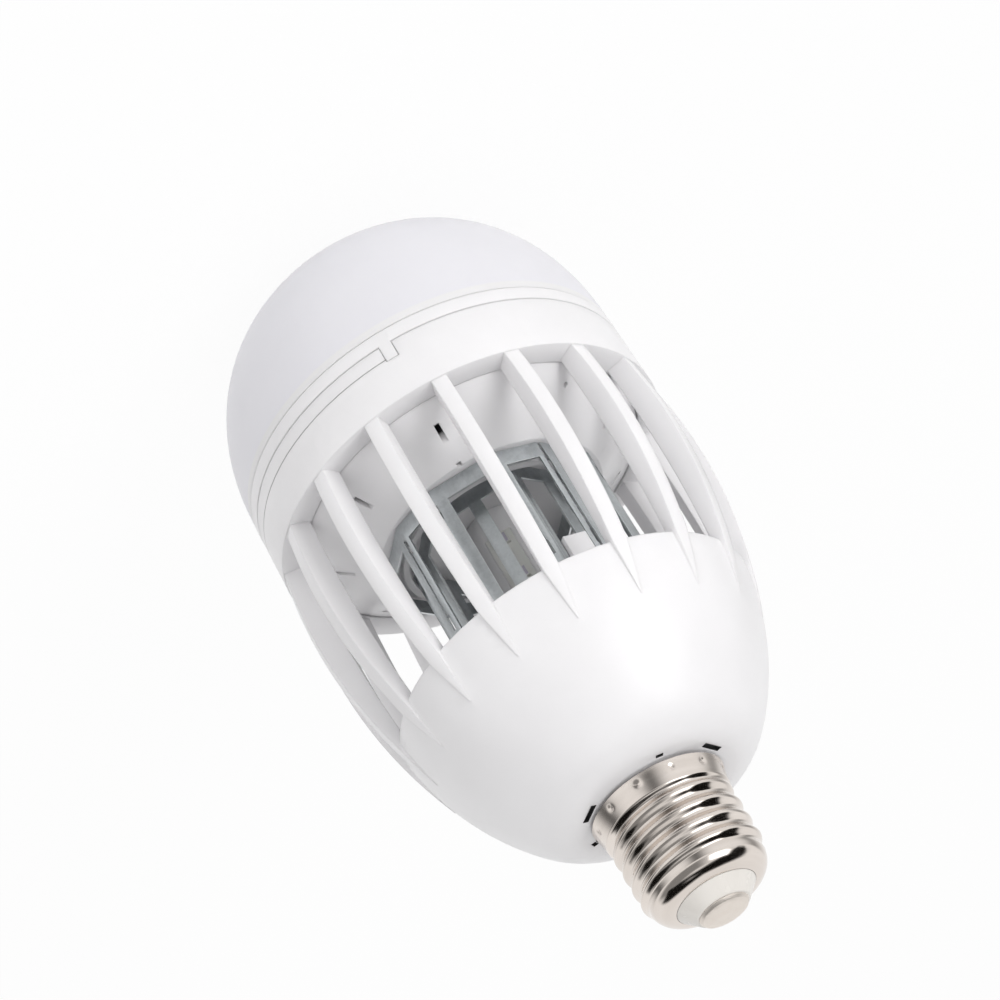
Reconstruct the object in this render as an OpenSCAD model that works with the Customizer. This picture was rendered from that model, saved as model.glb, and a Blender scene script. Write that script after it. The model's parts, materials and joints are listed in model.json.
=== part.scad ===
// Insect killer light bulb, hanging from its screw cap.
// The axis is Z. The origin is the end of the centre contact, and every level
// named _d is a depth below it.

/* [Screw cap] */
// Radius over the crests of the cap's thread
thread_crest_r = 13.15; // [12.9:0.05:13.3]
// Height of the thread from root to crest
thread_height = 1.02; // [0.8:0.02:1.1]
// Pitch of the thread
thread_pitch = 3.63; // [3.4:0.01:3.8]
// Turns of thread
thread_turns = 4; // [3:1:4]
// Depth at which the thread starts
thread_d = 8.1; // [8:0.1:8.6]
// Depth of the skirt's rim
rim_d = 26.7; // [26:0.1:27]
// Radius of the flared rim
rim_r = 14.1; // [13.8:0.1:14.6]
// Least wall of the screw shell
shell_wall = 0.33; // [0.3:0.01:0.4]
// Staking dimples round the skirt
stake_count = 13; // [8:1:16]
// Radius of the centre contact
contact_r = 5.15; // [4.8:0.05:5.4]
// Thickness of the centre contact
contact_t = 1; // [0.8:0.1:1.2]
// Depth at which the insulating cone meets the shell
cone_d = 3.9; // [3.5:0.1:4.4]
// Radius of the cone where it meets the shell
cone_r = 8.3; // [8:0.1:8.6]

/* [Housing] */
// Depth of the collar's face
collar_d = 27.5; // [27.2:0.1:29]
// Radius of the collar's face
collar_r = 16.7; // [15:0.1:18]
// Radius at which the flare turns into the bowl
flare_r = 21.3; // [20:0.1:23]
// Wall of the bowl
bowl_wall = 1.8; // [1.4:0.1:2.4]
// Radius of the arc that the bowl's outline follows
bowl_arc_r = 57; // [45:0.5:80]
// How far the bowl's lip stands back from the band
lip_inset = 4.25; // [3.5:0.05:5]
// Depth of the bowl's lip, where the windows start
lip_d = 60.4; // [60:0.1:62]
// Depth of the band, where the windows end
band_d = 106.8; // [104:0.1:108]
// Depth of the band's lower edge
band_end_d = 119.6; // [118.5:0.1:120]
// Radius of the band
band_r = 42.4; // [42.2:0.1:42.8]
// Wall of the band
band_wall = 2; // [1.6:0.1:2.2]
// Width of the flange behind the ribs, from the band's face
flange_w = 5.1; // [4.6:0.1:5.8]
// Thickness of that flange
flange_t = 2.2; // [1.8:0.1:2.6]

/* [Cage ribs] */
// Ribs round the cage
rib_count = 17; // [15:1:18]
// Width of a rib
rib_w = 3.2; // [2.8:0.1:3.6]
// Radius of the arc that a rib's outer line follows
rib_arc_r = 115; // [90:0.5:160]
// How far the ribs stand proud of the bowl's lip
rib_proud = 0.9; // [0.6:0.05:1.4]
// Radius of the arc that a rib's back follows
rib_back_arc_r = 276; // [200:1:400]
// Depth at which the ribs fade into the bowl
rib_tip_d = 49.5; // [48:0.5:52]

/* [Grids] */
// Corner radius of the outer grid
outer_grid_r = 24.3; // [23.5:0.1:24.7]
// Half the angle that a wide side of the outer grid takes round the axis
outer_grid_half = 18; // [16:0.5:20]
// Corner radius of the inner grid
inner_grid_r = 19.2; // [18:0.1:19.6]
// Thickness of the grids' sheet
sheet_t = 0.5; // [0.4:0.05:0.8]
// Depth of the grids' lower edge
grid_end_d = 98; // [96.5:0.1:98.5]
// Height of the sheet's band past the windows
grid_band = 3.6; // [3:0.1:5]
// Width of the bars at the sides of the outer grid's wide windows
outer_bar = 3; // [2.5:0.1:3.5]
// Width of the bars at the sides of its narrow windows
narrow_bar = 1.4; // [1.2:0.1:1.8]
// Width of the bars between and beside the inner grid's windows
inner_bar = 2.8; // [2.2:0.1:3.4]
// Depth at which the grids' windows start
grid_window_d = 68; // [66:0.5:71]

/* [Lamp end] */
// Thickness of the grid cover
cover_t = 1.5; // [1.2:0.1:1.8]
// Slots round the grid cover
slot_count = 9; // [6:3:9]
// Length of a slot in the grid cover
slot_l = 3.4; // [2.5:0.1:4]
// Width of a slot in the grid cover
slot_w = 1.1; // [0.8:0.1:1.4]
// Depth of the lamp ring's lower edge
ring_end_d = 122.9; // [122.4:0.1:123.4]
// How far the lamp ring and the diffuser stand back from the band
ring_inset = 0.2; // [0:0.05:0.3]
// Wall of the diffuser
diffuser_wall = 1.5; // [1.2:0.1:1.7]
// Depth at which the diffuser's dome starts
dome_d = 124.5; // [124:0.1:126]
// Height of the dome
dome_h = 43; // [40:0.5:46]
// Exponent of the dome's outline, 2 for an ellipse
dome_power = 2.24; // [2:0.02:2.5]

/* [Electronics] */
// Depth of the driver board's upper face
driver_d = 48; // [46:0.5:49]
// Thickness of the boards
board_t = 1.6; // [1:0.1:1.6]
// Radius of the wires
wire_r = 0.7; // [0.5:0.1:0.9]
// Light-emitting diodes in the outer ring of the light board
led_count = 18; // [12:1:24]

/* [Fit] */
// Gap between pieces that fit into each other
gap = 0.3; // [0.2:0.05:0.35]

/* [Hidden] */
$fn = 96;
white = "white";
window_step = 360 / rib_count;
front = -90;
thread_mean_r = thread_crest_r - thread_height / 2;
shell_bore_r = thread_crest_r - thread_height - shell_wall;
shoulder_r = shell_bore_r + 0.5 - cone_r;
shoulder_wall = 0.5;
skirt_d = thread_d + thread_turns * thread_pitch;
neck_r = shell_bore_r - gap;
neck_wall = 1.5;
neck_d = 12;
contact_stem_r = 1.6;
collar_t = 2;
flare_d = collar_d + 0.45;
lip_r = band_r - lip_inset;
flange_r = band_r - flange_w;
ring_r = band_r - ring_inset;
diffuser_r = ring_r - 0.1;
bowl_mid = arc_middle([flare_r, flare_d], [lip_r, lip_d], bowl_arc_r);
rib_mid = arc_middle([lip_r + rib_proud, lip_d], [band_r - 0.3, band_d], rib_arc_r);
back_mid = arc_middle([lip_r - bowl_wall + 0.15, lip_d], [flange_r + 0.45, band_d], rib_back_arc_r);
plate_t = 2;
plate_end_d = lip_d - 1.2;
plate_d = plate_end_d - plate_t;
plate_r = bowl_inner(plate_d) - gap;
boss_r = 3;
boss_ring_r = plate_r - 6.4;
driver_r = boss_ring_r - boss_r - 1;
boss_d = 42.5;
collar_recess_t = 0.8;
screw_r = 1.25;
screw_head_r = 2.5;
core_r = 6;
core_wall = 1;
cover_d = grid_end_d + gap;
cover_rim_d = band_d + 0.2;
cover_flat_r = outer_grid_r + 0.5;
cover_r = flange_r - gap;
cover_ledge_r = cover_r + 2.5;
flange_end_d = band_d + flange_t;
slot_mid_r = cover_r - 6;
slot_angle = -94;
pin_angle = -145;
post_ring_r = cover_r - 7;
post_angle = slot_angle + 180 / slot_count;
post_count = 3;
post_r = 3.2;
sink_t = 1.5;
sink_d = band_end_d - 1.8;
light_board_d = sink_d + sink_t;
led_d = light_board_d + board_t;
ring_d = band_end_d + gap;
ring_spigot_r = band_r - band_wall - gap;
ring_bore_r = ring_spigot_r - 1.2;
sink_r = ring_bore_r - gap;
light_board_r = sink_r - 2.6;
tab_angle = -93;
tab_w = 2.6;
tab_d = 116;
tab_gap = 0.1;
transformer_l = 13;
transformer_w = 12;
transformer_h = 13.5;
capacitor_r = 4.5;
capacitor_h = 14;
film_l = 9;
film_w = 4.2;
film_h = 8;
resistor_r = 1.9;
resistor_l = 9;
lead_r = 0.35;
outer_turn = -92;
inner_turn = -90;
seam_angle = outer_turn - 60 + outer_grid_half;
outer_lead_angle = outer_turn + 120;
inner_lead_angle = inner_turn + 180;
outer_lead_r = lead_place(outer_grid_r, outer_grid_half);
inner_lead_r = lead_place(inner_grid_r, 30);

// Middle of an arc that bulges outwards through two points, each a radius and a depth
function arc_middle(a, b, r) = let (half = norm(b - a) / 2, across = [a.y - b.y, b.x - a.x] / norm(b - a))
    (a + b) / 2 + across * sqrt(r * r - half * half);
// Distance from the axis at which a lead touches the inside of a grid's side
function lead_place(r, half) = r * cos(half) - sheet_t - wire_r - 0.1;
// Inner radius of the bowl at a depth, and its outer depth at a radius
function bowl_inner(d) = bowl_mid.x + sqrt(pow(bowl_arc_r - bowl_wall, 2) - pow(bowl_mid.y - d, 2));
function bowl_depth(r) = bowl_mid.y - sqrt(pow(bowl_arc_r, 2) - pow(r - bowl_mid.x, 2));

// Places its children at a depth, an angle round the axis and a distance from it
module at(depth, angle = 0, radius = 0) {
    rotate([0, 0, angle]) translate([radius, 0, -depth]) children();
}

// A disc or drum from one depth down to another
module drum(r, from, to) {
    translate([0, 0, -to]) cylinder(r = r, h = to - from);
}

module pipe(r, wall, from, to) {
    translate([0, 0, -to]) linear_extrude(to - from) difference() {
        circle(r);
        circle(r - wall);
    }
}

// A box with its middle at a distance from the axis, from one depth to another
module slab(radial, across, from, to) {
    translate([-radial / 2, -across / 2, -to]) cube([radial, across, to - from]);
}

// Rectangle in the radial plane between two radii and two depths
module plan(r0, r1, d0, d1) {
    translate([r0, -d1]) square([r1 - r0, d1 - d0]);
}

// A disc of the bowl's outline, less an allowance
module bowl_disc(less = 0) {
    translate([bowl_mid.x, -bowl_mid.y]) circle(bowl_arc_r - less, $fn = 240);
}

module rib_disc() {
    translate([rib_mid.x, -rib_mid.y]) circle(rib_arc_r, $fn = 360);
}

module cap_thread() {
    translate([0, 0, -skirt_d - shoulder_wall])
        linear_extrude(skirt_d + shoulder_wall - thread_d,
            twist = -360 * (thread_turns + shoulder_wall / thread_pitch),
            slices = 12 * thread_turns, segments = 36, $fn = 36, convexity = 4)
            translate([thread_height / 2, 0]) circle(thread_mean_r, $fn = 36);
}

module cap_shell() {
    color("silver") difference() {
        union() {
            cap_thread();
            rotate_extrude() {
                intersection() {
                    translate([cone_r, -cone_d - shoulder_r]) circle(shoulder_r);
                    plan(cone_r, cone_r + shoulder_r, cone_d, thread_d + 0.2);
                }
                polygon([[cone_r, -skirt_d], [thread_crest_r + 0.1, -skirt_d], [thread_crest_r + 0.3, -rim_d + 1.5],
                    [rim_r, -rim_d + 0.4], [rim_r, -rim_d], [cone_r, -rim_d]]);
            }
        }
        rotate_extrude() {
            plan(0, shell_bore_r, cone_d + shoulder_r, rim_d + 1);
            intersection() {
                translate([cone_r, -cone_d - shoulder_r]) circle(shoulder_r - shoulder_wall);
                plan(cone_r, cone_r + shoulder_r, cone_d, cone_d + shoulder_r + 0.1);
            }
            plan(0, cone_r, cone_d - 1, cone_d + shoulder_r + 0.1);
        }
        for (i = [0 : stake_count - 1])
            at(rim_d - 2.1, front + i * 360 / stake_count, thread_crest_r + 1) sphere(1.05, $fn = 24);
    }
}

module cap_insulator() {
    color(white) rotate_extrude() polygon([[contact_stem_r + gap, -contact_t], [contact_r + 0.4, -contact_t],
        [cone_r, -cone_d], [cone_r - gap, -cone_d], [cone_r - gap, -cone_d - 2.4],
        [contact_stem_r + gap, -cone_d - 2.4]]);
}

module cap_contact() {
    color("lightgrey") rotate_extrude() polygon([[0, 0], [contact_r - 1.4, 0], [contact_r - 0.4, -0.25],
        [contact_r, -contact_t + 0.2], [contact_r, -contact_t], [contact_stem_r, -contact_t],
        [contact_stem_r, -cone_d - 3.4], [0, -cone_d - 3.4]]);
}

// Half section of the collar, the bowl and the band
module housing_section() {
    plan(neck_r - neck_wall, neck_r, neck_d, collar_d + collar_t);
    polygon([[neck_r - neck_wall, -collar_d], [collar_r, -collar_d], [flare_r, -bowl_depth(flare_r)],
        [flare_r + 0.8, -bowl_depth(flare_r + 0.8) - 0.5], [flare_r, -collar_d - collar_t - 0.3],
        [neck_r - neck_wall, -collar_d - collar_t]]);
    intersection() {
        difference() {
            bowl_disc();
            bowl_disc(bowl_wall);
        }
        plan(flare_r, band_r, collar_d, lip_d);
    }
    polygon([[band_r - band_wall, -band_d], [band_r, -band_d], [ring_r, -band_end_d],
        [band_r - band_wall, -band_end_d]]);
    plan(flange_r, band_r - 1, band_d, flange_end_d);
}

// Side view of one rib, proud of the bowl above the lip and free below it
module rib_outline() {
    intersection() {
        difference() {
            rib_disc();
            translate([back_mid.x, -back_mid.y]) circle(rib_back_arc_r, $fn = 720);
        }
        plan(flare_r, rib_mid.x + rib_arc_r + 1, lip_d - 0.6, band_d + 1);
    }
    intersection() {
        difference() {
            rib_disc();
            bowl_disc(bowl_wall / 2);
        }
        plan(flare_r, band_r, rib_tip_d, lip_d - 0.3);
    }
}

module cage_housing() {
    color(white) difference() {
        union() {
            rotate_extrude() housing_section();
            for (i = [0 : rib_count - 1])
                rotate([90, 0, front + (i + 0.5) * window_step])
                    translate([0, 0, -rib_w / 2]) linear_extrude(rib_w) rib_outline();
            for (i = [0 : 2]) rotate([0, 0, 30 + 120 * i]) {
                translate([boss_ring_r, 0, -plate_d]) cylinder(r = boss_r, h = plate_d - boss_d);
                rotate([90, 0, 0]) translate([0, 0, -0.8]) linear_extrude(1.6) intersection() {
                    bowl_disc(bowl_wall / 2);
                    plan(boss_ring_r, band_r, boss_d, plate_d);
                }
            }
        }
        for (i = [0 : 2])
            at(plate_d + 1, 30 + 120 * i, boss_ring_r) cylinder(r = screw_r + 0.1, h = 9);
        for (i = [0 : 2]) {
            at(0, -38 + 120 * i, collar_r - 1.7) slab(1.2, 5.3, collar_d - 1, collar_d + collar_recess_t);
            at(0, 10 + 120 * i, collar_r - 1.7) slab(1, 1.5, collar_d - 1, collar_d + collar_recess_t);
        }
        at(0, tab_angle, band_r) slab(6, tab_w + 2 * tab_gap, tab_d - tab_gap, band_end_d + 1);
    }
}

// A spring clip that holds the outer grid's foot
module grid_clip() {
    clip_w = 5;
    clip_h = 14;
    clip_place = outer_grid_r * cos(30 - outer_grid_half) + gap;
    translate([clip_place, -clip_w / 2, -plate_end_d - clip_h]) cube([1.4, clip_w, clip_h + 0.5]);
    translate([clip_place, -clip_w / 2, -plate_end_d - 6]) cube([3, clip_w, 6.5]);
}

module base_plate() {
    color(white) difference() {
        union() {
            drum(plate_r, plate_d, plate_end_d);
            pipe(inner_grid_r + gap + 1.4, 1.4, plate_end_d - 0.5, plate_end_d + 4);
            pipe(core_r + 1.6, 1.3, plate_end_d - 0.5, plate_end_d + 4);
            for (i = [0 : 2]) rotate([0, 0, outer_turn - 30 + 120 * i]) grid_clip();
            for (i = [0 : 2])
                at(0, 90 + 120 * i, driver_r - 4) drum(2.2, driver_d + board_t, plate_d + 0.5);
        }
        drum(core_r - 2, plate_d - 1, plate_end_d + 1);
        for (i = [0 : 2]) rotate([0, 0, 30 + 120 * i]) {
            translate([boss_ring_r, 0, 0]) drum(screw_r + 0.3, plate_d - 1, plate_end_d + 1);
        }
        at(0, outer_lead_angle, outer_lead_r) drum(wire_r + gap, plate_d - 1, plate_end_d + 1);
        at(0, inner_lead_angle, inner_lead_r) drum(wire_r + gap, plate_d - 1, plate_end_d + 1);
    }
}

module screw(head_d, length) {
    translate([0, 0, -head_d - 1.5]) difference() {
        cylinder(r = screw_head_r, h = 1.5);
        translate([-1.6, -0.35, -1]) cube([3.2, 0.7, 1.8]);
        translate([-0.35, -1.6, -1]) cube([0.7, 3.2, 1.8]);
    }
    translate([0, 0, -head_d]) cylinder(r = screw_r, h = length);
}

module base_screws() {
    color("grey") for (i = [0 : 2]) at(0, 30 + 120 * i, boss_ring_r) screw(plate_end_d, 9);
}

module driver_board() {
    color("darkgreen") difference() {
        drum(driver_r, driver_d, driver_d + board_t);
        drum(core_r - 2, driver_d - 1, driver_d + board_t + 1);
        at(0, outer_lead_angle, outer_lead_r) drum(wire_r + 0.2, driver_d - 1, driver_d + board_t + 1);
        at(0, inner_lead_angle, inner_lead_r) drum(wire_r + 0.2, driver_d - 1, driver_d + board_t + 1);
    }
}

module smoothing_capacitor() {
    color("darkslategrey") at(0, 200, driver_r - 9.5) {
        drum(capacitor_r, driver_d - capacitor_h + 1, driver_d);
        drum(capacitor_r - 0.3, driver_d - capacitor_h, driver_d - capacitor_h + 1.5);
    }
}

module hv_transformer() {
    color("dimgrey") at(0, 60, driver_r - 11.5) {
        slab(transformer_l, transformer_w, driver_d - 2, driver_d);
        slab(4, transformer_w, driver_d - transformer_h + 1.5, driver_d - 1.5);
        slab(transformer_l, transformer_w, driver_d - transformer_h, driver_d - transformer_h + 2);
    }
    color("gold") at(0, 60, driver_r - 11.5) difference() {
        slab(transformer_l - 1, transformer_w - 1, driver_d - transformer_h + 2 + gap, driver_d - 2 - gap);
        slab(4 + 2 * gap, transformer_w + 1, driver_d - transformer_h, driver_d);
    }
}

module film_capacitors() {
    color("orangered") for (i = [0 : 2])
        at(0, 119 + 22 * i, driver_r - 6.5) slab(film_l, film_w, driver_d - film_h, driver_d);
}

module bridge_rectifier() {
    color("black") at(0, -30, driver_r - 9) slab(7, 9, driver_d - 2.6, driver_d);
}

module fuse_resistor() {
    color("seagreen") at(driver_d, -85, driver_r - 10) {
        lift = resistor_r + gap;
        foot = resistor_l / 2 + 1.5;
        translate([-resistor_l / 2, 0, lift]) rotate([0, 90, 0]) cylinder(r = resistor_r, h = resistor_l);
        for (x = [-foot, foot]) {
            translate([x, 0, 0]) cylinder(r = lead_r, h = lift);
            translate([min(x, 0), 0, lift]) rotate([0, 90, 0]) cylinder(r = lead_r, h = foot);
            translate([x, 0, lift]) sphere(lead_r, $fn = 24);
        }
    }
}

module live_wire() {
    bend_d = cone_d + 8;
    drop_r = 5;
    color("firebrick") {
        at(0, -60, drop_r) drum(wire_r, bend_d, driver_d);
        at(bend_d, -60) rotate([0, 90, 0]) cylinder(r = wire_r, h = drop_r);
        at(bend_d, -60, drop_r) sphere(wire_r, $fn = 24);
        drum(wire_r, cone_d + 3.4 + gap, bend_d);
        at(bend_d) sphere(wire_r, $fn = 24);
    }
}

module neutral_wire() {
    lift_r = neck_r - neck_wall - 1.2;
    bend_d = neck_d - 1.4;
    color("black") {
        at(0, 120, lift_r) drum(wire_r, bend_d, driver_d);
        at(bend_d, 120, lift_r) sphere(wire_r, $fn = 24);
        at(bend_d, 120, lift_r) rotate([0, 90, 0]) cylinder(r = wire_r, h = shell_bore_r - lift_r - 0.2);
    }
}

module grid_wires() {
    color("firebrick") {
        at(0, outer_lead_angle, outer_lead_r) drum(wire_r, driver_d - 1, plate_end_d + 3);
        at(0, inner_lead_angle, inner_lead_r) drum(wire_r, driver_d - 1, plate_end_d + 3);
    }
}

// Outline of the outer grid, six wide sides and six narrow ones, with its corners at a radius
module outer_outline(r) {
    polygon([for (i = [0 : 5], side = [-1, 1])
        let (a = outer_turn + 60 * i + side * outer_grid_half) [r * cos(a), r * sin(a)]]);
}

module outer_grid() {
    wide_w = 2 * outer_grid_r * sin(outer_grid_half) - 2 * outer_bar;
    narrow_w = 2 * outer_grid_r * sin(30 - outer_grid_half) - 2 * narrow_bar;
    window_end = grid_end_d - grid_band;
    color("silver") difference() {
        translate([0, 0, -grid_end_d]) linear_extrude(grid_end_d - plate_end_d) difference() {
            outer_outline(outer_grid_r);
            outer_outline(outer_grid_r - sheet_t / cos(outer_grid_half));
        }
        for (i = [0 : 5]) {
            rotate([90, 0, outer_turn + 60 * i + 90]) translate([0, 0, -outer_grid_r - 1]) linear_extrude(4)
                plan(-wide_w / 2, wide_w / 2, grid_window_d, window_end);
            rotate([90, 0, outer_turn + 60 * i + 120]) translate([0, 0, -outer_grid_r - 1]) linear_extrude(4)
                difference() {
                    plan(-narrow_w / 2, narrow_w / 2, grid_window_d, window_end);
                    if (i == 5) outer_lug(narrow_w, window_end);
                }
        }
        for (i = [0 : 5], side = [-1, 1]) at(0, outer_turn + 60 * i + side * outer_grid_half, outer_grid_r) {
            slab(3, 1, window_end - 3.5, window_end);
            slab(3, 0.4, window_end - 19.8, window_end - 3.4);
            slab(3, 1, window_end - 23.2, window_end - 19.7);
        }
        at(0, seam_angle, outer_grid_r) slab(3, 0.7, plate_end_d - 1, grid_end_d + 1);
    }
}

// Lug left in the corner of the window next to the seam
module outer_lug(window_w, window_end) {
    lug_w = 2.7;
    lug_h = 4.5;
    lug_round = 1;
    plan(-window_w / 2 - 1, -window_w / 2 + lug_w, window_end - lug_h + lug_round, window_end + 1);
    plan(-window_w / 2 - 1, -window_w / 2 + lug_w - lug_round, window_end - lug_h, window_end + 1);
    translate([-window_w / 2 + lug_w - lug_round, -window_end + lug_h - lug_round]) circle(lug_round, $fn = 48);
}

module inner_grid() {
    side = inner_grid_r;
    window_w = (side - 2 * inner_bar) / 2;
    window_end = grid_end_d - grid_band;
    color("silver") difference() {
        rotate([0, 0, inner_turn + 30]) translate([0, 0, -grid_end_d])
            linear_extrude(grid_end_d - plate_end_d) difference() {
                circle(inner_grid_r, $fn = 6);
                circle(inner_grid_r - sheet_t / cos(30), $fn = 6);
            }
        for (i = [0 : 5]) rotate([0, 0, inner_turn + 60 * i])
            for (y = [-1, 1] * (inner_bar + window_w) / 2)
                translate([inner_grid_r * cos(30), y, 0]) slab(3, window_w, grid_window_d, window_end);
        at(0, inner_turn + 150, inner_grid_r) slab(3, 0.6, plate_end_d - 1, grid_end_d + 1);
    }
}

module core_tube() {
    color(white) difference() {
        drum(core_r, plate_end_d, cover_d);
        drum(core_r - core_wall, plate_end_d - 1, cover_d + 1);
        for (a = [0 : 90 : 270]) at(0, a, core_r) slab(1.8, 6, plate_end_d + 6, cover_d - 6);
    }
}

module uv_board() {
    color("whitesmoke") for (a = [0 : 90 : 270])
        at(0, a, core_r - 0.4) slab(0.8, 5.6, plate_end_d + 6.2, cover_d - 6.2);
}

module uv_leds() {
    color("plum") for (a = [0 : 90 : 270], k = [0 : 2])
        at(0, a, core_r + 0.35) slab(0.7, 3.5, 71 + 9 * k, 73.8 + 9 * k);
}

module cover_section() {
    polygon([[4, -cover_d], [cover_flat_r, -cover_d], [cover_r, -cover_rim_d], [cover_r, -flange_end_d],
        [cover_ledge_r, -flange_end_d], [cover_ledge_r, -flange_end_d - cover_t],
        [cover_r - 1, -flange_end_d - cover_t], [cover_flat_r - 0.3, -cover_d - cover_t],
        [4, -cover_d - cover_t]]);
    plan(inner_grid_r + gap, inner_grid_r + 1.8, cover_d - 2.5, cover_d + 0.5);
}

module grid_cover() {
    color(white) difference() {
        union() {
            rotate_extrude() cover_section();
            intersection() {
                for (i = [0 : post_count - 1])
                    at(0, post_angle + 360 / post_count * i, post_ring_r) drum(post_r, cover_d, sink_d);
                rotate_extrude() polygon([[0, -cover_d - cover_t / 2], [cover_flat_r, -cover_d - cover_t / 2],
                    [cover_r, -cover_rim_d - cover_t / 2], [cover_r, -sink_d - 1], [0, -sink_d - 1]]);
            }
        }
        for (i = [0 : slot_count - 1])
            at(0, slot_angle + 360 / slot_count * i, slot_mid_r) slab(slot_l, slot_w, cover_d, flange_end_d + 2);
        at(0, slot_angle, cover_flat_r) slab(1, 1, cover_d - 1, cover_d + 4);
        at(0, pin_angle, cover_r - 3.6) drum(0.5, cover_d, flange_end_d + 2);
        for (i = [0 : post_count - 1])
            at(0, post_angle + 360 / post_count * i, post_ring_r) drum(screw_r + 0.1, sink_d - 9, sink_d + 1);
    }
}

module lamp_wires() {
    color("white") for (x = [-1.6, 1.6]) translate([x, 0, 0]) drum(wire_r, driver_d - 1, light_board_d - gap);
}

module heat_sink() {
    color("silver") difference() {
        drum(sink_r, sink_d, sink_d + sink_t);
        drum(3.4, sink_d - 1, sink_d + sink_t + 1);
        for (i = [0 : post_count - 1])
            at(0, post_angle + 360 / post_count * i, post_ring_r)
                drum(screw_r + gap, sink_d - 1, sink_d + sink_t + 1);
    }
}

module light_board() {
    color("ivory") difference() {
        drum(light_board_r, light_board_d, led_d);
        for (i = [0 : post_count - 1])
            at(0, post_angle + 360 / post_count * i, post_ring_r)
                drum(screw_r + gap, light_board_d - 1, led_d + 1);
    }
}

module light_led() {
    slab(3.5, 2.8, led_d, led_d + 0.7);
}

module light_leds() {
    color("khaki") {
        for (i = [0 : led_count - 1]) at(0, 360 / led_count * i, light_board_r - 11.5) light_led();
        for (i = [0 : led_count / 2 - 1]) at(0, 720 / led_count * i, light_board_r - 21.6) light_led();
    }
}

module board_screws() {
    color("grey") for (i = [0 : post_count - 1])
        at(0, post_angle + 360 / post_count * i, post_ring_r) screw(led_d, 9);
}

module lamp_ring() {
    color(white) {
        rotate_extrude() {
            plan(ring_bore_r, ring_r, ring_d, ring_end_d);
            plan(ring_bore_r, ring_spigot_r, ring_d - 4, ring_d + 0.2);
            plan(ring_bore_r, diffuser_r - diffuser_wall - gap, ring_end_d - 0.2, ring_end_d + 3.5);
            plan(light_board_r + 0.6, ring_bore_r + 0.5, light_board_d + gap, light_board_d + gap + 1);
        }
        rotate([0, 0, tab_angle]) translate([band_r - band_wall - 1, -tab_w / 2, -ring_d - 0.2])
            cube([band_wall + 1 - ring_inset, tab_w, ring_d + 0.2 - tab_d]);
    }
}

// Outline of the dome, from its widest level to its tip
function dome_points(r, h, steps) = [for (i = [0 : steps])
    let (a = 90 * i / steps) [r * pow(cos(a), 2 / dome_power), -dome_d - h * pow(sin(a), 2 / dome_power)]];

module diffuser() {
    steps = 36;
    color("gainsboro") rotate_extrude() difference() {
        polygon(concat([[0, -ring_end_d - gap], [diffuser_r, -ring_end_d - gap]],
            dome_points(diffuser_r, dome_h, steps)));
        polygon(concat([[-1, -ring_end_d], [diffuser_r - diffuser_wall, -ring_end_d]],
            dome_points(diffuser_r - diffuser_wall, dome_h - diffuser_wall, steps),
            [[-1, -dome_d - dome_h + diffuser_wall]]));
    }
}

cap_shell();
cap_insulator();
cap_contact();
cage_housing();
base_plate();
base_screws();
driver_board();
smoothing_capacitor();
hv_transformer();
film_capacitors();
bridge_rectifier();
fuse_resistor();
live_wire();
neutral_wire();
grid_wires();
outer_grid();
inner_grid();
core_tube();
uv_board();
uv_leds();
grid_cover();
lamp_wires();
heat_sink();
light_board();
light_leds();
board_screws();
lamp_ring();
diffuser();
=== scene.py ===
# %% [markdown]
# # An insect killer light bulb
# The lamp hangs from its screw cap. Its engineering model is already packed, so this script
# loads it as a fixed frame and gives it its looks. Every length is in metres. The lamp's axis
# is Z, and the end of the centre contact is the origin, so the lamp lies below it.

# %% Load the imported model
import json
import math
import random

import bmesh
import bpy
from mathutils import Matrix, Vector


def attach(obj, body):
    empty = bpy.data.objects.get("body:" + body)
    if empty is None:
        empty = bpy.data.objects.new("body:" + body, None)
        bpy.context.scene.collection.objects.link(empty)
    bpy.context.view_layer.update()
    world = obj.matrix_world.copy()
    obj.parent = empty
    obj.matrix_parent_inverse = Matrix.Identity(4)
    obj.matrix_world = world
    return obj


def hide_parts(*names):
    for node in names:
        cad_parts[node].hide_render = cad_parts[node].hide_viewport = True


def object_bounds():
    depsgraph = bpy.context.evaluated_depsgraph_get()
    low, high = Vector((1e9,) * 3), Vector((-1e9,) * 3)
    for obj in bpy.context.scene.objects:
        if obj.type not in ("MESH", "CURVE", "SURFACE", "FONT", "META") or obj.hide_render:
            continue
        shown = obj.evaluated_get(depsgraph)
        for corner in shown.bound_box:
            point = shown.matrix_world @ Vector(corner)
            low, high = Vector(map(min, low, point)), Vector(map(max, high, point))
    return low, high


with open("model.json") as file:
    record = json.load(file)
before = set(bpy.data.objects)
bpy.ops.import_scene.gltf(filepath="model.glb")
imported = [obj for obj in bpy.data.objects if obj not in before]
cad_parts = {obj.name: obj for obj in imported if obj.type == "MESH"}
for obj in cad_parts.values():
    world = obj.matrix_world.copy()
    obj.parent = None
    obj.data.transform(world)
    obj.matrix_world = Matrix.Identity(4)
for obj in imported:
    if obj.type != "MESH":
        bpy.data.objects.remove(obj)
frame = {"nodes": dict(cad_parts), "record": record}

MM = 0.001
nodes = frame["nodes"]
cad_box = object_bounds()
random.seed(7)
print("nodes:", len(nodes), "box:", [round(v, 4) for corner in cad_box for v in corner])

# %% [markdown]
# ## The camera
# The photographer looked down on the cap's end with a long lens, and turned the picture so
# that the cap points to the lower right. The three axes below are the camera's own: to its
# right, up in the picture and forward into it. A matrix of them is the camera's rotation.

# %% Set the camera
CAMERA_RIGHT = Vector((-0.8415, 0.3178, 0.4369))
CAMERA_UP = Vector((-0.5389, -0.4366, -0.7205))
CAMERA_FORWARD = Vector((0.0382, 0.8417, -0.5386))
CAMERA_PLACE = Vector((-26.9, -509.2, 223.4)) * MM

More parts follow.
